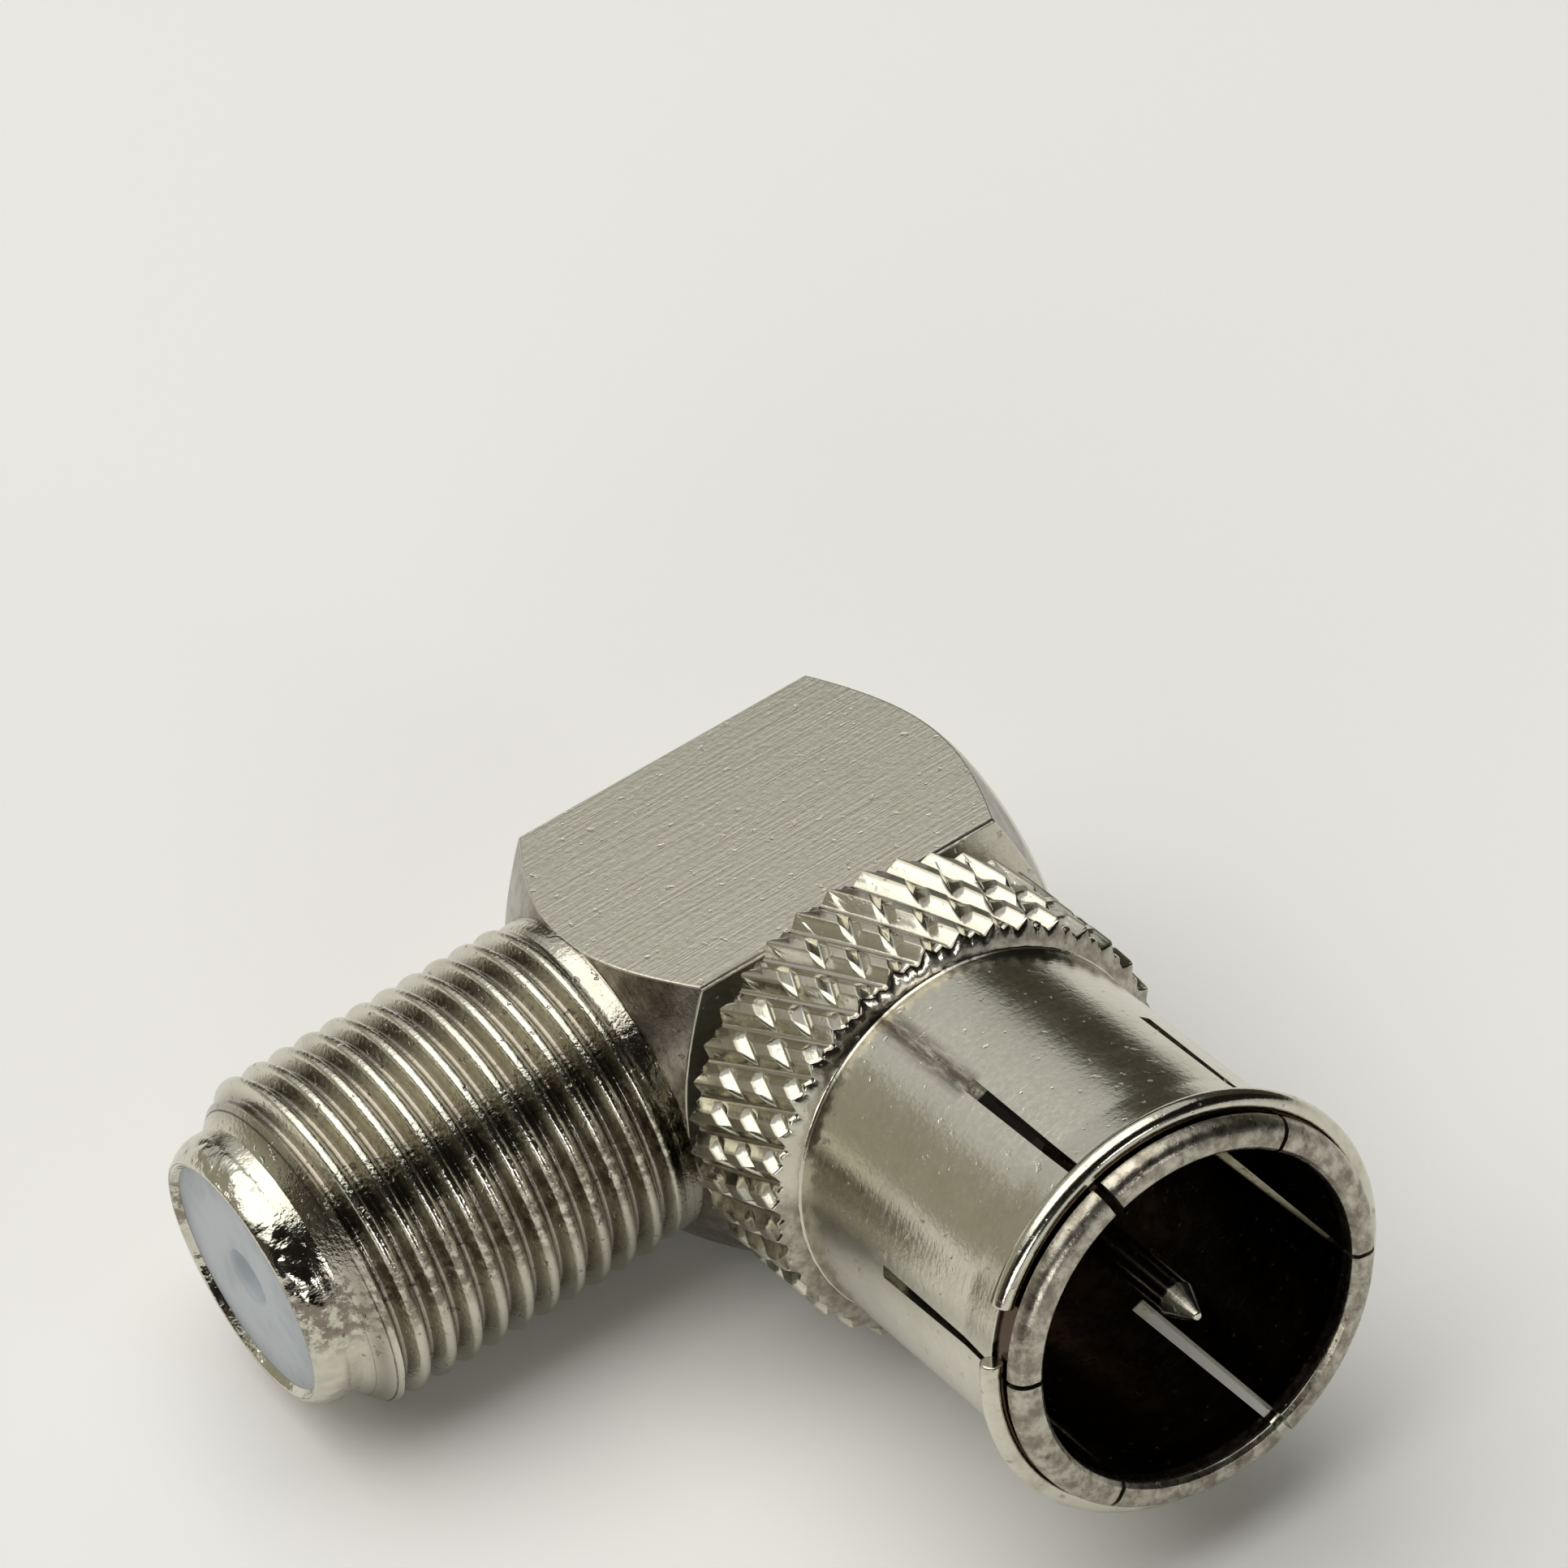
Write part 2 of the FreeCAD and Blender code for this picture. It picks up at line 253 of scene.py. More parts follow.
sleeve = {
    "foot": 9.43, "footRadius": 5.42, "radius": 5.25, "wall": 0.65, "floor": 9.6, "mouth": 19.6, "bore": 2.31,
    "flareStart": 17.04, "flareEnd": 18.34, "flare": 0.09, "groove": 5.23, "grooveEnd": 19.08, "land": 5.4,
    "mouthRound": 0.45, "mouthCut": 0.13, "firstSlot": 18.0, "slotEnd": 13.35, "slotRear": 0.38,
    "slotFronts": (0.27, 0.14, 0.13, 0.32, 0.12, 0.13), "columns": 44,
}


def along(wire, point, axis):
    return wire.pick(wire.node("SeparateXYZ", in0=point), axis)


def threadRootsAndPaintedReflection(wire, point):
    # darker in the roots, not at the crests; a speckled painted dark reflection along both sides of thread and nose
    deep = 1 - distanceFromAxis(wire, point, True).step(4.2, 4.6)
    up = along(wire, point, "Z")
    # painted dark reflection: a band at the jack's middle height on both sides, broken up by the ragged noise
    side = up.step(-0.9, 0.3) * (1 - up.step(1.2, 2.3))
    ragged = noise(wire, point, (4.0, 3.0, 4.0), 4.0, 0.7, (2.0, 6.0, 1.0)).step(0.38, 0.56)
    onThread = along(wire, point, "Y").step(-21.8, -21.3)
    return (deep * onThread * 0.5).atLeast(side * ragged * 0.72)


def knurlDarkeningAndPaintedGlint(wire, point):
    # darker on the floors of the knurl's grooves and thinly on its tops, and blotchy on the collar's face but for the
    # part towards clock 60, which is left light as a painted glint
    radius, distance = distanceFromAxis(wire, point, False), along(wire, point, "X")
    blotches = noise(wire, point, (2.5, 2.5, 2.5), 3.0, 0.6, (4.0, 1.0, 6.0)).step(0.35, 0.65)
    # painted glint: the face's darkening is lifted where it faces clock 60
    paintedGlintTowards60 = ((along(wire, point, "Y") + sleeveAxis) * -0.87 + along(wire, point, "Z") * 0.5) / radius
    face = distance.step(9.24, 9.29) * (1 - paintedGlintTowards60.step(0.94, 0.985) * 0.95)
    drum = ((1 - radius.step(5.66, 5.9)) * 0.25 + radius.step(5.93, 5.98) * 0.28) * (1 - distance.step(9.2, 9.24))
    return (1 - face) * drum + face * (0.35 + blotches * 0.35)


def onMouth(wire, point):
    # 1 on the land and the rounded mouth, which rub on whatever the sleeve is pushed over
    return along(wire, point, "X").step(18.95, 19.1)


def blockConesPaintedReflection(wire, point):
    # a painted dark reflection on the turned cones: everything of the block but its flats and its plain end, the plain
    # end's cone most
    distance = along(wire, point, "Y")
    blotches = noise(wire, point, (1.5, 1.5, 1.5), 3.0, 0.6, (1.0, 5.0, 2.0)).step(0.35, 0.65)
    turned = (1 - onFlats(wire, point)) * (1 - distance.step(-0.3, -0.1))
    return turned * (0.5 + blotches * 0.3 + distance.step(-4.0, -2.6) * 0.2)


def sleeveShadeScuffAndWear(wire, point):
    # painted shade on the inside of the fingers, dark from just behind the mouth, and in the ring's groove; the scuff
    # that the slotting saw left in line with the first slot: there u, the offset from the slot's plane, is -(y + a) cos
    # c - z sin c
    radius, distance = distanceFromAxis(wire, point, False), along(wire, point, "X")
    c = math.radians(sleeve["firstSlot"])
    across, up = along(wire, point, "Y") + sleeveAxis, along(wire, point, "Z")
    offset = abs(across * -math.cos(c) - up * math.sin(c) - 0.06)
    ragged = noise(wire, point, (0.9, 5.0, 5.0), 4.0, 0.7, (3.0, 3.0, 7.0))
    behind = up.step(0.0, 0.5) * (1 - distance.step(sleeve["slotEnd"], sleeve["slotEnd"] + 0.25))
    scuff = (1 - offset.step(0.05, 0.55)) * behind * ragged.step(0.22, 0.6)
    inside = (1 - radius.step(4.61, 4.68)) * (1 - distance.step(19.3, 19.5))
    groove = (1 - radius.step(5.25, 5.33)) * distance.step(18.3, 18.36) * (1 - distance.step(19.06, 19.1))
    blotches = noise(wire, point, (2.2, 2.2, 2.2), 4.0, 0.65, (8.0, 2.0, 5.0)).step(0.35, 0.65)
    rubbed = onMouth(wire, point) * (0.22 + blotches * 0.5)
    # painted shade: inside the fingers and in the ring's groove
    deep = (inside * (0.95 - blotches * 0.2)).atLeast(groove * 0.98)
    return deep.atLeast((scuff * 0.88).atLeast(rubbed))


def pinPaintedShade(wire, point):
    # painted shade on the pin's shaft, deep in the sleeve; only its tip stays light
    return (1 - along(wire, point, "X").step(18.45, 18.56)) * 0.85


def onFlats(wire, point):
    # 1 on the milled flats of the bar, where |x| or |z| is half its width
    widest = abs(along(wire, point, "X")).atLeast(abs(along(wire, point, "Z")))
    return widest.step(block["halfWidth"] - 0.06, block["halfWidth"] - 0.015)


def onFold(wire, point):
    return 1 - along(wire, point, "Y").step(-22.35, -22.15)


def onCrests(wire, point):
    # 1 on the tops that the knurling tool left standing
    return distanceFromAxis(wire, point, False).step(5.9, 5.97) * (1 - along(wire, point, "X").step(9.2, 9.27))


threadFinish = finish("turned", marks=(0.4, 7.0, 0.4), grainDepth=1.9, stains=1.0, patchShade=0.7)
collarFinish = finish("turned", rough=0.16, marks=(6.0, 1.0, 1.0))
sleeveFinish = finish(
    "turned", rough=0.19, marks=(5.0, 0.5, 0.5), markDepth=0.4, grain=6.0, grainDepth=0.6, nickShine=0.25
)
ringFinish = finish("turned", rough=0.15, marks=(1.0, 1.0, 1.0), patches=1.3, patchShade=1.0, stains=0.9)
blockPlate = nickelPlate("block_plate", finish("turned", rough=0.22), blockConesPaintedReflection, (onFlats, finishes["milled"]))
threadPlate = nickelPlate("thread_plate", threadFinish, threadRootsAndPaintedReflection, (onFold, finishes["crimped"]))
collarPlate = nickelPlate("collar_plate", collarFinish, knurlDarkeningAndPaintedGlint, (onCrests, finishes["knurled"]))
sleevePlate = nickelPlate("sleeve_plate", sleeveFinish, sleeveShadeScuffAndWear, (onMouth, finishes["rubbed"]))
ringWire = nickelPlate("ring_wire", ringFinish)
pinPlate = nickelPlate("pin_plate", finish("turned", rough=0.22, marks=(9.0, 0.3, 0.3)), pinPaintedShade)
contactPlate = nickelPlate("contact_plate", finish("turned", marks=(0.3, 9.0, 0.3)))
# the jack's insulator gets painted shade at its rim; the bush deep in the sleeve gets its near-black stain nearly all
# over as painted shade
jackDielectric = mouldedPlastic("jack_dielectric", (0.47, 0.51, 0.545), (0.30, 0.33, 0.35), 0.45, 0.55)
innerDielectric = mouldedPlastic("inner_dielectric", (0.6, 0.59, 0.55), (0.07, 0.055, 0.045), 0.5, 0.9)
print("materials made")


# Meshes: every surface is a grid of points, rows by columns

def gridFaces(rows, columns, start):
    corner = start + np.arange(rows - 1)[:, None] * columns + np.arange(columns - 1)[None, :]
    return np.stack([corner, corner + 1, corner + columns + 1, corner + columns], -1).reshape(-1, 4)


def makePiece(name, grids, material, node, sharp=40.0):
    # joins the grids where their points meet, turns every face outwards and keeps corners over "sharp" degrees crisp
    points, faces, start = [], [], 0
    for grid in grids:
        points.append(grid.reshape(-1, 3))
        faces.append(gridFaces(grid.shape[0], grid.shape[1], start))
        start += grid.shape[0] * grid.shape[1]
    mesh = bpy.data.meshes.new(name)
    mesh.from_pydata((np.concatenate(points) * 0.001).tolist(), [], np.concatenate(faces).tolist())
    shell = bmesh.new()
    shell.from_mesh(mesh)
    bmesh.ops.remove_doubles(shell, verts=shell.verts, dist=2e-7)
    bmesh.ops.dissolve_degenerate(shell, edges=shell.edges, dist=1e-7)
    bmesh.ops.recalc_face_normals(shell, faces=shell.faces)
    shell.to_mesh(mesh)
    shell.free()
    mesh.polygons.foreach_set("use_smooth", np.ones(len(mesh.polygons), bool))
    mesh.set_sharp_from_angle(angle=math.radians(sharp))
    mesh.materials.append(material)
    piece = bpy.data.objects.new(name, mesh)
    scene.collection.objects.link(piece)
    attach(piece, "root")
    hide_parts(node)
    print(name, len(mesh.polygons), "faces")
    return piece


def aroundJack(along, radius, angle):
    # a point at a distance along the jack from the sleeve's axis, turned from +Z towards +X
    along, radius, angle = np.broadcast_arrays(along, radius, angle)
    return np.stack([radius * np.sin(angle), -sleeveAxis - along, radius * np.cos(angle)], -1)


def aroundSleeve(along, radius, angle):
    # a point at a distance along the sleeve from the jack's axis, turned from +Z towards the jack
    along, radius, angle = np.broadcast_arrays(along, radius, angle)
    return np.stack([along, -sleeveAxis - radius * np.sin(angle), radius * np.cos(angle)], -1)


def roundedRun(corners, cuts, steps=5):
    # Run of (distance, radius) corners, each inner one cut back by its length to a and b on its two sides and
    # replaced by the curve (1-t)^2 a + 2t(1-t) c + t^2 b, with a point a little outside a and b to keep the sides flat
    corners = np.array(corners, float)
    t = np.linspace(0, 1, steps + 1)[:, None]
    rows = [corners[:1]]
    for before, corner, after, cut in zip(corners[:-2], corners[1:-1], corners[2:], cuts):
        if cut == 0:
            rows.append(corner[None])
            continue
        back, on = before - corner, after - corner
        a = corner + back * cut / np.hypot(*back)
        b = corner + on * cut / np.hypot(*on)
        rows.append((a + 0.3 * (a - corner))[None])
        rows.append((1 - t) ** 2 * a + 2 * t * (1 - t) * corner + t ** 2 * b)
        rows.append((b + 0.3 * (b - corner))[None])
    rows.append(corners[-1:])
    return np.concatenate(rows)


def ring(columns):
    return np.linspace(0, turn, columns + 1)


# Block: square bar of half width h with cut edges, under a cone at each end

def squareBlock():
    # The bar's radius at an angle is the least of h/|cos|, h/|sin| and (2h - cut)/(|cos| + |sin|). Each cone meets it
    # where distance = end +- (radius - end radius) tan(cone), and a small curve rounds the edge between the two.
    h = block["halfWidth"]
    nearCorner = np.radians(45 + np.array([-0.9, -0.75, -0.63, -0.5, -0.25, 0, 0.25, 0.5, 0.63, 0.75, 0.9]))
    quarter = np.concatenate([np.radians(np.arange(0, 44, 1.0)), nearCorner, np.radians(np.arange(46, 90, 1.0))])
    angles = np.concatenate([quarter + side * turn / 4 for side in range(4)] + [[turn]])
    c, s = np.abs(np.cos(angles)), np.abs(np.sin(angles))
    bar = np.minimum(np.minimum(h / np.maximum(c, 1e-9), h / np.maximum(s, 1e-9)), (2 * h - block["edgeCut"]) / (c + s))
    plainRun = (bar - block["plainRadius"]) * math.tan(math.radians(block["plainCone"]))
    jackRun = (bar - block["shoulderRadius"]) * math.tan(math.radians(block["jackCone"]))
    e = block["rounding"]
    rows = [np.stack([np.full_like(bar, block["plainEnd"]), np.full_like(bar, r)], -1) for r in (0, 1.5, 3, 3.9)]
    corners = [
        (np.full_like(bar, block["plainEnd"]), np.full_like(bar, block["plainRadius"])),
        (block["plainEnd"] + plainRun, bar),
        (block["shoulder"] - jackRun, bar),
        (np.full_like(bar, block["shoulder"]), np.full_like(bar, block["shoulderRadius"] - 0.1)),
    ]
    corners = [np.stack(pair, -1) for pair in corners]
    ends = [np.stack([corners[0][:, 0], corners[0][:, 1] - 0.3], -1)] + corners + [corners[3] - np.array([0, 0.5])]
    for before, corner, after in zip(ends[:-2], ends[1:-1], ends[2:]):
        back, on = before - corner, after - corner
        backLength, onLength = np.hypot(*back.T)[:, None], np.hypot(*on.T)[:, None]
        a = corner + back / backLength * np.minimum(e, backLength * 0.3)
        b = corner + on / onLength * np.minimum(e, onLength * 0.3)
        rows.append(corner + (a - corner) * 1.4)
        rows.extend((1 - t) ** 2 * a + 2 * t * (1 - t) * corner + t ** 2 * b for t in np.linspace(0, 1, 6))
        rows.append(corner + (b - corner) * 1.4)
    rows.append(np.stack([np.full_like(bar, block["shoulder"]), np.zeros_like(bar)], -1))
    run = np.array(rows)
    return aroundJack(run[..., 0], run[..., 1], angles[None, :])


makePiece("squareBlock", [squareBlock()], blockPlate, "body_block", 30)


# Jack: a 32 threads per inch screw with a start chamfer and a run-out, a turned nose and the lip folded over the
# insulator

jack = {
    "start": 5.5, "runOut": 6.3, "band": 4.58, "crest": 4.7, "root": 4.22, "pitch": 0.79375, "firstCrest": 14.32,
    "chamferStart": 14.65, "noseStart": 15.49, "noseRadius": 3.86, "reach": 16.7,
    "crestFlat": 0.22, "rootFlat": 0.12, "mouth": 3.26, "bore": 3.43, "seat": 14.4, "insideBore": 3.0,
    "fadeLag": 0.35, "fold": 0.75, "foldBow": 0.06, "foldRows": 19, "lip": 3.53, "lumps": 0.02, "columns": 240,
}


def threadRun():
    # one pitch of the thread as (phase, radius), from the middle of a root to the next, with rounded crest and root
    p, crest, root = jack["pitch"], jack["crest"], jack["root"]
    a, b = jack["rootFlat"] / 2, p / 2 - jack["crestFlat"] / 2
    corners = [(0, root), (a, root), (b, crest), (p - b, crest), (p - a, root), (p, root)]
    return roundedRun(corners, (0.05, 0.1, 0.1, 0.05), 4) / [p, 1]


def jackSurface():
    # radius = thread(distance / pitch + angle / turn), faded to the plain band near the block by a smooth step,
    # and never above the chamfer, whose radius falls one to one with distance past its start
    angles = ring(jack["columns"])
    form = threadRun()
    count = int((jack["noseStart"] - jack["start"]) / jack["pitch"]) + 3
    phases = (np.arange(count)[:, None] + form[None, :-1, 0]).reshape(-1)
    along = jack["firstCrest"] + jack["pitch"] * (phases[:, None] - 0.5 - count + 3 - angles[None, :] / turn)
    along = np.clip(along, jack["start"], jack["noseStart"])
    phase = (along - jack["firstCrest"]) / jack["pitch"] + 0.5 + angles[None, :] / turn
    radius = np.interp(np.mod(phase, 1.0), form[:, 0], form[:, 1])
    fade = np.clip((along - jack["start"] - jack["fadeLag"]) / (jack["runOut"] - jack["start"]), 0, 1)
    fade = fade * fade * (3 - 2 * fade)
    radius = jack["band"] + (radius - jack["band"]) * fade
    radius = np.minimum(radius, np.maximum(jack["crest"] - (along - jack["chamferStart"]), jack["noseRadius"]))
    base = np.array([(jack["start"], 0.0), (jack["start"], jack["band"])])
    foot = aroundJack(base[:, :1], base[:, 1:], angles[None, :])
    return [aroundJack(along, radius, angles[None, :]), noseSurface(angles), foot]


def noseSurface(angles):
    # From the fold's start to the lip's edge the line start + s (end - start) + 4 bow s (1 - s) normal, with
    # s from 0 to 1. Lumps of the crimping tool stand on it: a sum of sines of the angle and s, times sin(pi s)^0.5.
    start = np.array([jack["reach"] - jack["fold"], jack["noseRadius"]])
    end = np.array([jack["reach"] - 0.03, jack["lip"]])
    s = np.linspace(0, 1, jack["foldRows"])[:, None]
    normal = np.array([start[1] - end[1], end[0] - start[0]]) / np.hypot(*(end - start))
    fold = start + s * (end - start) + 4 * jack["foldBow"] * s * (1 - s) * normal
    rim = roundedRun([
        (jack["reach"] - 0.03, jack["lip"]), (jack["reach"], jack["lip"] - 0.05), (jack["reach"], jack["lip"] - 0.13),
        (jack["reach"] - 0.19, jack["mouth"]), (jack["reach"] - 0.2, jack["bore"]), (jack["seat"], jack["bore"]),
        (jack["seat"], jack["insideBore"]), (jack["start"] - 0.2, jack["insideBore"]), (jack["start"] - 0.2, 0.0),
    ], (0.03, 0.04, 0, 0, 0, 0, 0), 3)
    neck = [(jack["noseStart"], jack["noseRadius"]), (start[0] - 0.02, start[1])]
    outline = np.concatenate([neck, fold, rim[1:]])
    swell = np.zeros(len(outline))
    afterFold = 2 + jack["foldRows"]
    swell[2:afterFold] = np.sqrt(np.sin(math.pi * s[:, 0]).clip(0))
    swell[afterFold:afterFold + 8] = 0.3  # the lip's edge, where the lumps are low
    s = np.clip((outline[:, :1] - start[0]) / jack["fold"], 0, 1)
    waves = ((1.0, 5, 4, 0), (0.7, 13, -5, 1), (0.5, 29, 6, 0), (0.3, 47, -4, 2))
    lumps = sum(height * np.sin(turns * angles + run * s + first) for height, turns, run, first in waves)
    return aroundJack(outline[:, :1], outline[:, 1:] + jack["lumps"] * swell[:, None] * lumps, angles[None, :])


makePiece("threadedJack", jackSurface(), threadPlate, "body_block", 60)


# Insulator in the jack's mouth, with its funnel, and the wall behind it

insulator = {
    "radius": 3.42, "front": 16.5, "thickness": 2.1, "funnel": 0.8, "funnelDepth": 0.7, "hole": 0.7, "columns": 96,
}


def insulatorSurface():
    front, back = insulator["front"], insulator["front"] - insulator["thickness"]
    run = roundedRun([
        (back, insulator["hole"]), (back, insulator["radius"]), (front, insulator["radius"]), (front + 0.03, 1.6),
        (front, insulator["funnel"]), (front - insulator["funnelDepth"], insulator["hole"]), (back, insulator["hole"]),
    ], (0.05, 0.06, 0, 0.12, 0.05), 4)
    return aroundJack(run[:, :1], run[:, 1:], ring(insulator["columns"])[None, :])


makePiece("jackInsulator", [insulatorSurface()], jackDielectric, "jack_insulator", 50)


# Collar: two crossing sets of V grooves on a drum, with a shallow cone in front

collar = {
    "rear": 5.35, "front": 9.25, "face": 9.5, "radius": 6.0, "neck": 3.9, "neckStart": 2.6, "bore": 2.31,
    "sleeve": 5.25, "count": 36, "edge": 0.03, "bow": 0.04,
    "long": {"slope": -3.6, "clock": 0.0, "depth": 0.3, "floor": 0.12, "lean": 20.0},
    "cross": {"slope": 4.36, "clock": 8.6, "depth": 0.24, "floor": 0.06, "lean": 24.0},
}


def grooveRadius(kind, cells):
    # the drum's radius, less the depth, plus how far the point lies beyond half the floor from the groove's middle line
    step = turn / collar["count"] * collar["radius"] * math.cos(math.radians(kind["lean"]))
    aside = np.abs(cells - np.round(cells)) * step
    return collar["radius"] - kind["depth"] + np.maximum(aside - kind["floor"] / 2, 0)


def grooveStops(kind, soft=0.012):
    # where grid lines fall in one cell: close together at the floor's and the crest's edges
    step = turn / collar["count"] * collar["radius"] * math.cos(math.radians(kind["lean"]))
    lip = kind["floor"] / 2 + kind["depth"]
    half = np.array([
        0, kind["floor"] / 2 - soft / 2, kind["floor"] / 2 + soft, lip * 0.5, lip - soft * 1.6, lip - soft * 0.3,
        lip + soft * 1.2, lip + soft * 3, step / 2,
    ])
    half = np.unique(np.clip(half, 0, step / 2)) / step
    return np.concatenate([half, 1 - half[-2:0:-1]])


def collarSurface():
    # Grid lines follow the grooves: with a and b counting cells of the two sets, distance is where their clocks agree,
    # and clock = first clock + cell a + slope * distance. Lines past an end are drawn back to it along their own
    # groove.
    long, cross = collar["long"], collar["cross"]
    cell = 360 / collar["count"]
    middle = (collar["rear"] + collar["front"]) / 2
    stopsA, stopsB = grooveStops(long), grooveStops(cross)
    a = (np.arange(collar["count"])[:, None] + stopsA[None, :]).reshape(-1)
    a = np.append(a, collar["count"])
    reach = (cross["slope"] - long["slope"]) * (collar["front"] - collar["rear"]) / cell
    whole = np.floor(a).astype(int)
    whole[-1] = collar["count"]
    base = int(math.ceil(reach / 2)) + 2
    localB = (np.arange(-base, base + 1)[:, None] + stopsB[None, :]).reshape(-1)
    offset = (long["clock"] - cross["clock"]) / cell
    # along a groove of the long set, b = a + offset - (cross slope - long slope) x / cell
    b = whole[None, :] + localB[:, None]
    x = (a[None, :] + offset - b) * cell / (cross["slope"] - long["slope"])
    half = (collar["front"] - collar["rear"]) / 2
    x = np.clip(x, -half, half)
    clock = long["clock"] + cell * a[None, :] + long["slope"] * x
    cellB = a[None, :] + offset - (cross["slope"] - long["slope"]) * x / cell
    drum = np.full_like(x, collar["radius"])
    cutA = grooveRadius(long, np.broadcast_to(a[None, :], x.shape))
    cutB = grooveRadius(cross, cellB)
    radius = softLeast(softLeast(cutA, cutB, 0.006), drum, 0.01)
    e = collar["edge"]
    squeeze = middle + x * (half - e) / half
    knurl = np.radians(clock)
    order = np.argsort(x[:, 0])
    x, squeeze, knurl, radius = x[order], squeeze[order], knurl[order], radius[order]
    rows = [aroundSleeve(squeeze, radius, knurl)]
    lastClock, firstClock = knurl[-1][None, :], knurl[0][None, :]
    front, rear = radius[-1][None, :], radius[0][None, :]
    slope = (collar["face"] - collar["front"]) / (collar["radius"] - collar["sleeve"])
    t = np.array([0.0, 0.05, 0.15, 0.3, 0.45, 0.6, 0.75, 0.9, 1.0])[:, None]
    bow = 4 * collar["bow"] * t * (1 - t)  # the face is a cone that bows outwards
    inward = (front - e) * (1 - t) + 5.15 * t
    faceAlong = collar["front"] + (collar["radius"] - e - inward) * slope + bow
    frontGrid = np.concatenate([squeeze[-1][None, :], faceAlong]), np.concatenate([front, inward])
    rows.append(aroundSleeve(frontGrid[0], frontGrid[1], lastClock))
    tail = np.array([(collar["face"] + 0.02, collar["bore"]), (collar["neckStart"], collar["bore"])])
    tailAlong = np.concatenate([faceAlong[-1][None, :], np.broadcast_to(tail[:, :1], (2, lastClock.shape[1]))])
    tailRadius = np.concatenate([inward[-1][None, :], np.broadcast_to(tail[:, 1:], (2, lastClock.shape[1]))])
    rows.append(aroundSleeve(tailAlong, tailRadius, lastClock))
    neck = roundedRun([
        (collar["rear"], 5.4), (collar["rear"], collar["neck"]), (collar["neckStart"], collar["neck"]),
        (collar["neckStart"], collar["bore"]),
    ], (0.1, 0.05), 4)
    shape = (len(neck), rear.shape[1])
    rearAlong = np.concatenate([
        squeeze[0][None, :], np.full_like(rear, collar["rear"]), np.broadcast_to(neck[:, :1], shape),
    ])
    rearRadius = np.concatenate([rear, rear - e, np.broadcast_to(neck[:, 1:], shape)])
    rows.append(aroundSleeve(rearAlong, rearRadius, firstClock))
    return rows


def softLeast(first, second, width):
    # the lesser of two heights, rounded where they cross: ((a + b) - sqrt((a - b)^2 + w^2)) / 2
    return (first + second - np.sqrt((first - second) ** 2 + width ** 2)) / 2


makePiece("knurledCollar", collarSurface(), collarPlate, "push_on_shell", 50)


# Sleeve: a thin tube whose wall is cut into fingers by slots that narrow towards the mouth

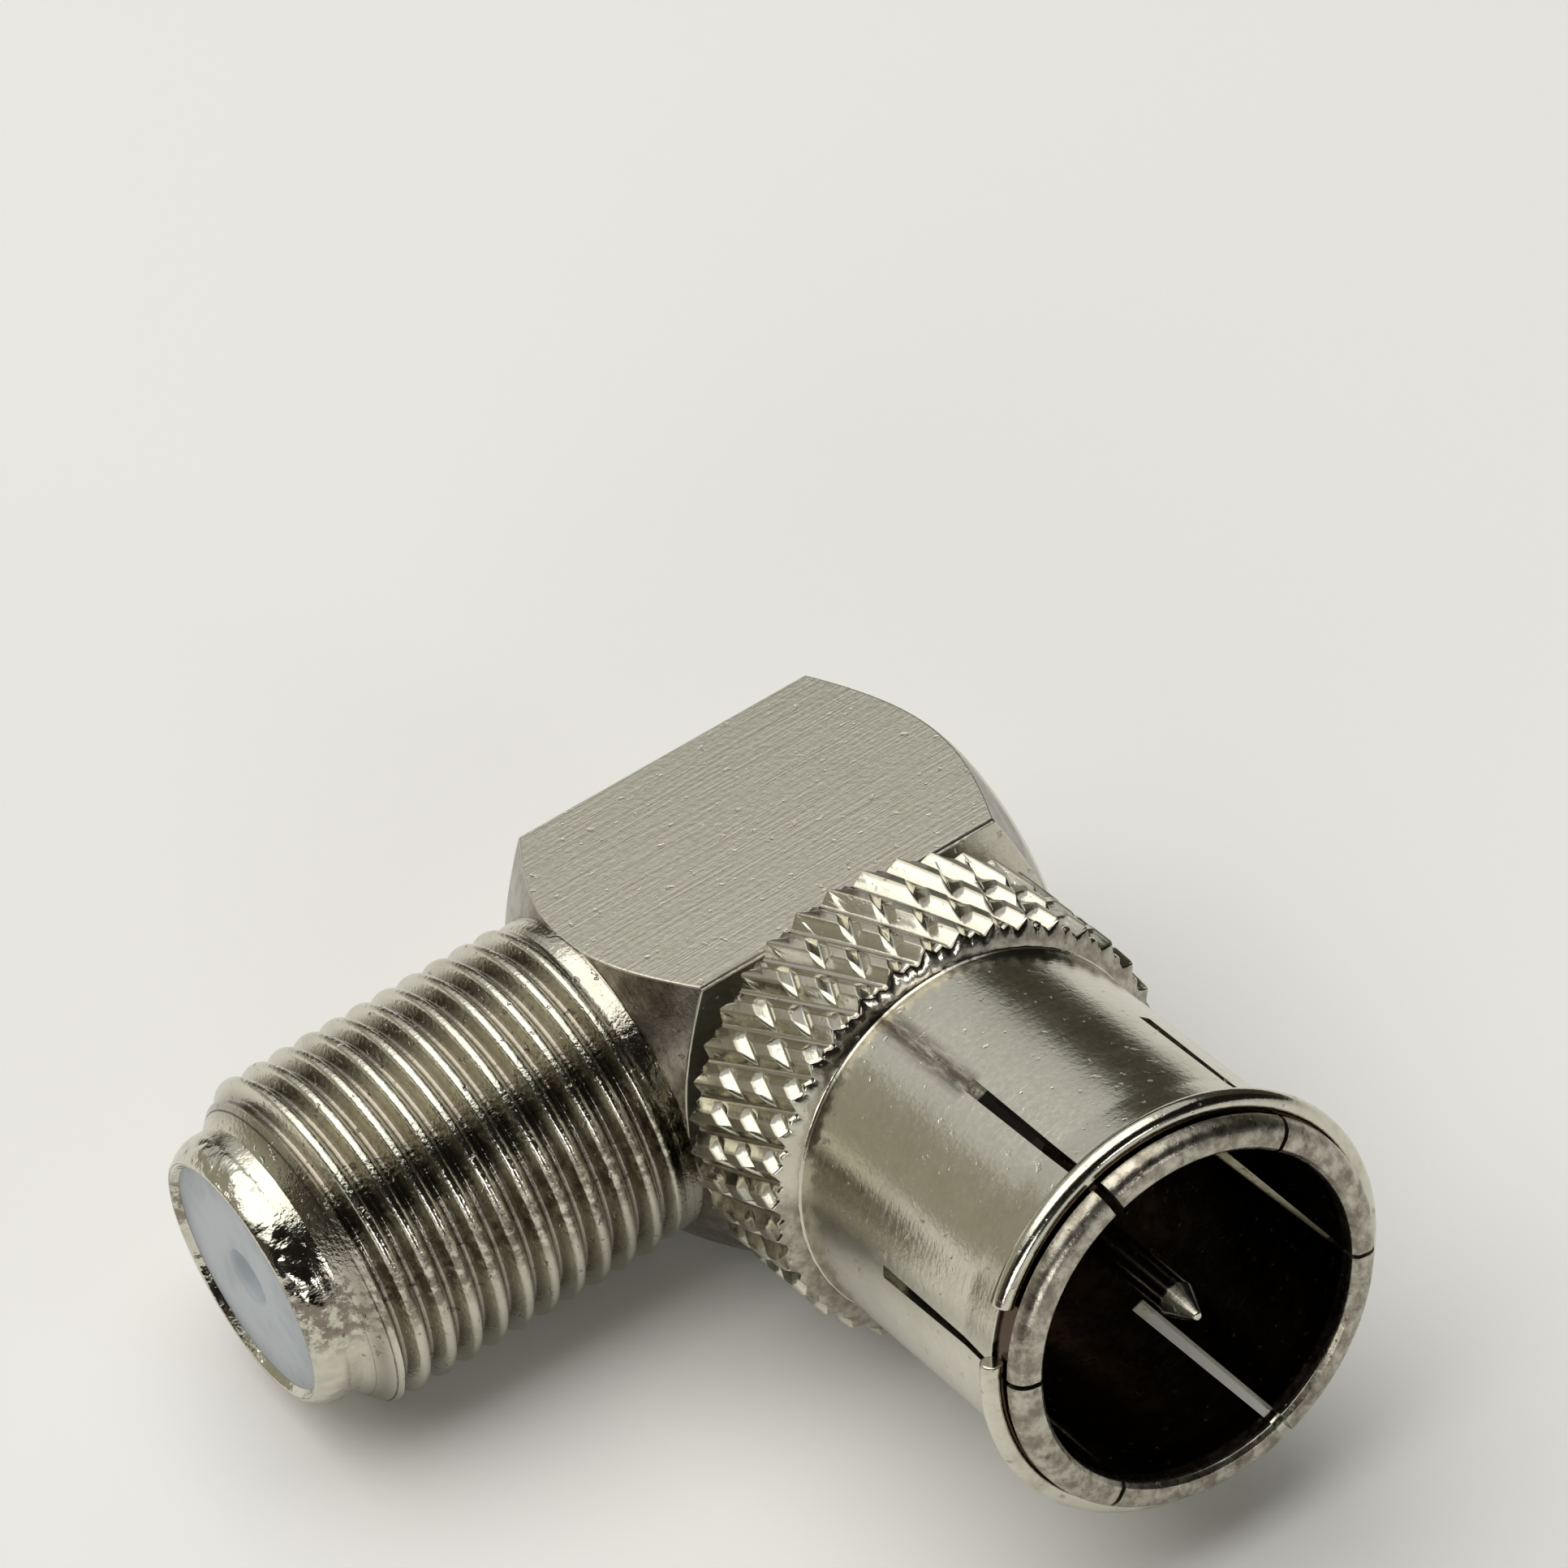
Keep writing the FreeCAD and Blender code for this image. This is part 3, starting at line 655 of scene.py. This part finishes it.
def sleeveSurface():
    # The wall's outline, outside then inside, is carried round each finger. A finger's edge lies half the slot's
    # width from the slot's middle plane, so its angle is asin(half width / radius). Behind the slots a strip joins
    # neighbouring fingers, and the slot's walls are quads between the outer and the inner line.
    inner, mouth, r = sleeve["radius"] - sleeve["wall"], sleeve["mouth"], sleeve["mouthRound"]
    outside = roundedRun([
        (sleeve["foot"], sleeve["footRadius"]), (sleeve["foot"] + 0.1, sleeve["radius"]),
        (sleeve["slotEnd"], sleeve["radius"]), (sleeve["flareStart"], sleeve["radius"]),
        (sleeve["flareEnd"], sleeve["radius"] + sleeve["flare"]),
        (sleeve["flareEnd"] + 0.01, sleeve["groove"]), (sleeve["grooveEnd"] - 0.01, sleeve["groove"]),
        (sleeve["grooveEnd"], sleeve["land"] - 0.02), (sleeve["grooveEnd"] + 0.02, sleeve["land"]),
    ], (0.08, 0, 0.12, 0.03, 0, 0, 0), 5)
    quarter = np.linspace(0.05, math.pi / 2, 12)  # the mouth's outer edge is a quarter circle
    lip = np.stack([mouth - r + r * np.sin(quarter), sleeve["land"] - r + r * np.cos(quarter)], -1)
    cut = sleeve["mouthCut"]
    corners = [lip[-1], (mouth, inner + cut), (mouth - cut, inner), (mouth - cut - 0.2, inner)]
    front = roundedRun(corners, (0.03, 0.03), 3)
    inside = np.array([(x, inner) for x in np.linspace(mouth - cut - 0.4, sleeve["slotEnd"], 14)])
    run = np.concatenate([outside, lip, front[1:], inside])
    split = int(np.argmin(np.abs(outside[:, 0] - sleeve["slotEnd"])))  # the outer point at the slots' rear end
    finger = run[split:]
    slots = len(sleeve["slotFronts"])
    slotRun, rearHalf = [sleeve["slotEnd"], mouth], sleeve["slotRear"] / 2
    halves = [np.interp(finger[:, 0], slotRun, [rearHalf, wide / 2]) for wide in sleeve["slotFronts"]]
    t = np.linspace(0, 1, sleeve["columns"] + 1)
    step, threeAcross = turn / slots, np.array([[-1.0, 0.0, 1.0]])
    grids = []
    rearOuter = outside[: split + 1]
    foot, floor = sleeve["foot"], sleeve["floor"]
    rearInner = np.array([
        (sleeve["slotEnd"], inner), (floor + 0.1, inner), (floor, inner - 0.1), (floor, sleeve["bore"]),
        (foot - 0.3, sleeve["bore"]), (foot - 0.3, 5.0), (foot, sleeve["footRadius"]),
    ])

    def edge(radius, half):
        return np.arcsin(half / radius)

    for k in range(slots):
        first = math.radians(sleeve["firstSlot"]) + k * step
        cut, nextCut = edge(finger[:, 1], halves[k])[:, None], edge(finger[:, 1], halves[(k + 1) % slots])[:, None]
        angles = first + cut + t[None, :] * (step - cut - nextCut)
        grids.append(aroundSleeve(finger[:, :1], finger[:, 1:], angles))
        for part in (rearOuter, rearInner):
            cut = edge(part[:, 1], rearHalf)[:, None]
            whole = first + cut + t[None, :] * (step - 2 * cut)
            grids.append(aroundSleeve(part[:, :1], part[:, 1:], whole))
            strip = first + cut * threeAcross
            grids.append(aroundSleeve(part[:, :1], part[:, 1:], strip))
        half = (len(finger) + 1) // 2
        for side in (-1, 1):
            cut = first + side * edge(finger[:, 1], halves[k])
            line = aroundSleeve(finger[:, 0], finger[:, 1], cut)
            grids.append(np.stack([line[:half], line[::-1][:half]], 1))
        backRadius = np.array([[sleeve["radius"]], [inner]])
        grids.append(aroundSleeve(sleeve["slotEnd"], backRadius, first + edge(backRadius, rearHalf) * threeAcross))
    return grids


makePiece("slottedSleeve", sleeveSurface(), sleevePlate, "push_on_shell", 35)


# Spring ring: round wire bent to an open circle, with its ends cut square

springWire = {
    "wire": 0.3, "radius": 5.55, "along": 18.66, "gap": 16.0, "gapClock": 65.7, "edge": 0.06, "columns": 260,
    "girthColumns": 28,
}


def ringSurface():
    # a circle of the wire's radius carried along an arc; at each end its radius falls by edge (1 - cos u) while the
    # distance to the cut goes as edge (1 - sin u), and a flat disc closes it
    wire, edge = springWire["wire"], springWire["edge"]
    start, end = springWire["gapClock"] + springWire["gap"] / 2, springWire["gapClock"] + 360 - springWire["gap"] / 2
    u = np.linspace(0, math.pi / 2, 6)
    back = np.append(np.degrees(edge * (1 - np.sin(u)) / springWire["radius"]), [0, 0])
    girth = np.append(wire - edge * (1 - np.cos(u)), [wire / 2, 0])
    middle = np.linspace(start + back[0], end - back[0], springWire["columns"])[1:-1]
    clock = np.concatenate([start + back[::-1], middle, end - back])
    girth = np.concatenate([girth[::-1], np.full_like(middle, wire), girth])
    about = ring(springWire["girthColumns"])
    along = springWire["along"] + girth[:, None] * np.sin(about)[None, :]
    radius = springWire["radius"] + girth[:, None] * np.cos(about)[None, :]
    return aroundSleeve(along, radius, np.radians(clock)[:, None])


makePiece("springRing", [ringSurface()], ringWire, "spring_ring", 60)


# Centre pin

pin = {"radius": 0.5, "tail": -0.8, "tip": 19.45, "cone": 0.9, "tipRadius": 0.13, "columns": 72}


def pinSurface():
    run = roundedRun([
        (pin["tail"], 0), (pin["tail"], pin["radius"]), (pin["tip"] - pin["cone"], pin["radius"]),
        (pin["tip"] - 0.05, pin["tipRadius"] - 0.005), (pin["tip"], 0.09), (pin["tip"], 0),
    ], (0.05, 0.02, 0.02, 0.03), 4)
    return aroundSleeve(run[:, :1], run[:, 1:], ring(pin["columns"])[None, :])


makePiece("centrePin", [pinSurface()], pinPlate, "centre_pin", 60)


# CAD pieces that stay as they are, with their own finishes

cadFinishes = {"socket_contact": contactPlate, "rear_insulator": innerDielectric, "pin_insulator": innerDielectric}
for nodeName, material in cadFinishes.items():
    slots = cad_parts[nodeName].data.materials
    for number in range(len(slots)):
        slots[number] = material
    if not slots:
        slots.append(material)
print("pieces made")


# Stage: a pale floor under the three points that the part rests on, a broad soft lamp overhead and two small low
# ones, a pale sky, and flags of dark and grey felt that stand round the part as the walls of the room did

stage = {
    "floorColour": (0.94, 0.94, 0.935), "floorReach": 2000, "sky": (0.60, 0.60, 0.59),
    "restNormal": (0.127, 0.041, 0.991), "restPoint": (5.4, -7.05, -6.02), "centre": (6, -10, 0),
}
flags = {
    # how far off they stand, how low they reach and how many points they have, and of each flag its colour and its
    # top edge as (azimuth from +X towards +Y, elevation) pairs
    "far": 760, "foot": -1.0, "columns": 61, "rows": 9,
    "nearFlag": ((0.025, 0.021, 0.017), ((-75, 38), (-50, 48), (-30, 58), (0, 60), (30, 59), (50, 52), (85, 44))),
    "rightFlag": ((0.12, 0.108, 0.08), ((85, 44), (110, 40), (136, 33), (160, 31), (180, 25))),
    "greyFlag": ((0.60, 0.58, 0.49), ((180, 25), (200, 32), (215, 37), (240, 38), (255, 36))),
    "leftFlag": ((0.14, 0.125, 0.10), ((255, 36), (270, 34), (285, 38))),
}
lamps = {
    # place from the part's middle in mm, turned about X and Z (0 faces straight down), width, height, radiance, colour
    "overheadLamp": ((-65, -115, 500), (0, 0), 590, 730, 1.45, (1.0, 0.97, 0.90)),
    "windowLamp": ((475, 136, 78), (81, 106), 90, 34, 13.0, (1.0, 1.0, 0.99)),
    "lowLamp": ((396, -288, 104), (78, 54), 240, 120, 4.0, (1.0, 0.99, 0.96)),
}


def plainMaterial(name, colour):
    material = bpy.data.materials.new(name)
    material.use_nodes = True
    shader = material.node_tree.nodes["Principled BSDF"]
    shader.inputs["Base Color"].default_value = opaque(colour)
    shader.inputs["Roughness"].default_value = 0.9
    shader.inputs["Specular IOR Level"].default_value = 0.0
    return material


def stageSheet(name, grid, material):
    # a sheet through a grid of points in millimetres
    mesh = bpy.data.meshes.new(name)
    mesh.from_pydata((grid.reshape(-1, 3) * 0.001).tolist(), [], gridFaces(grid.shape[0], grid.shape[1], 0).tolist())
    mesh.materials.append(material)
    sheet = bpy.data.objects.new(name, mesh)
    scene.collection.objects.link(sheet)
    return sheet


def towards(azimuth, elevation):
    a, e = np.radians(azimuth), np.radians(elevation)
    a, e = np.broadcast_arrays(a, e)
    return np.stack([np.cos(a) * np.cos(e), np.sin(a) * np.cos(e), np.sin(e)], -1)


def floorGrid():
    # centre + u side + v up, in the plane square to the resting normal
    normal = np.array(stage["restNormal"]) / np.linalg.norm(stage["restNormal"])
    side = np.cross((0, 1, 0), normal)
    side /= np.linalg.norm(side)
    reach = np.array([-1, 1]) * stage["floorReach"]
    return np.array(stage["restPoint"]) + reach[:, None, None] * side + reach[None, :, None] * np.cross(normal, side)


def flagGrid(edge):
    # part of a ball round the part, from the foot up to a straight run between the edge's pairs
    azimuths, tops = np.array(edge, float).T
    azimuth = np.linspace(azimuths[0], azimuths[-1], flags["columns"])
    top = np.interp(azimuth, azimuths, tops)
    elevation = flags["foot"] + np.linspace(0, 1, flags["rows"])[None, :] * (top - flags["foot"])[:, None]
    return np.array(stage["centre"]) + flags["far"] * towards(azimuth[:, None], elevation)


stageSheet("floor", floorGrid(), plainMaterial("floor_paper", stage["floorColour"]))
for name, value in flags.items():
    if name.endswith("Flag"):
        felt = stageSheet(name, flagGrid(value[1]), plainMaterial(name + "_felt", value[0]))
        felt.visible_camera = False
for name, (placeAt, (tilt, swing), wide, high, radiance, colour) in lamps.items():
    data = bpy.data.lights.new(name, "AREA")
    data.shape, data.size, data.size_y, data.color = "RECTANGLE", wide * 0.001, high * 0.001, colour
    data.energy = radiance * math.pi * data.size * data.size_y
    lamp = bpy.data.objects.new(name, data)
    lamp.location = (np.array(stage["centre"]) + placeAt) * 0.001
    lamp.rotation_euler = (math.radians(tilt), 0.0, math.radians(swing))
    scene.collection.objects.link(lamp)

world = bpy.data.worlds.new("paleSky")
world.use_nodes = True
world.node_tree.nodes["Background"].inputs["Color"].default_value = opaque(stage["sky"])
scene.world = world


# Camera, as it stood for the photograph

camera = {
    "place": (150.346, -71.443, 126.204), "turned": (53.1125, 12.2389, 57.2875), "lens": 180.388,
    "shift": (0.02713, -0.02766),
}
cameraData = bpy.data.cameras.new("photoCamera")
cameraData.sensor_width, cameraData.lens = 36.0, camera["lens"]
cameraData.shift_x, cameraData.shift_y = camera["shift"]
cameraData.clip_start, cameraData.clip_end = 0.005, 50.0
cameraObject = bpy.data.objects.new("photoCamera", cameraData)
cameraObject.location = np.array(camera["place"]) * 0.001
cameraObject.rotation_euler = [math.radians(angle) for angle in camera["turned"]]
scene.collection.objects.link(cameraObject)
scene.camera = cameraObject
scene.view_settings.view_transform = "Standard"
print("stage set")
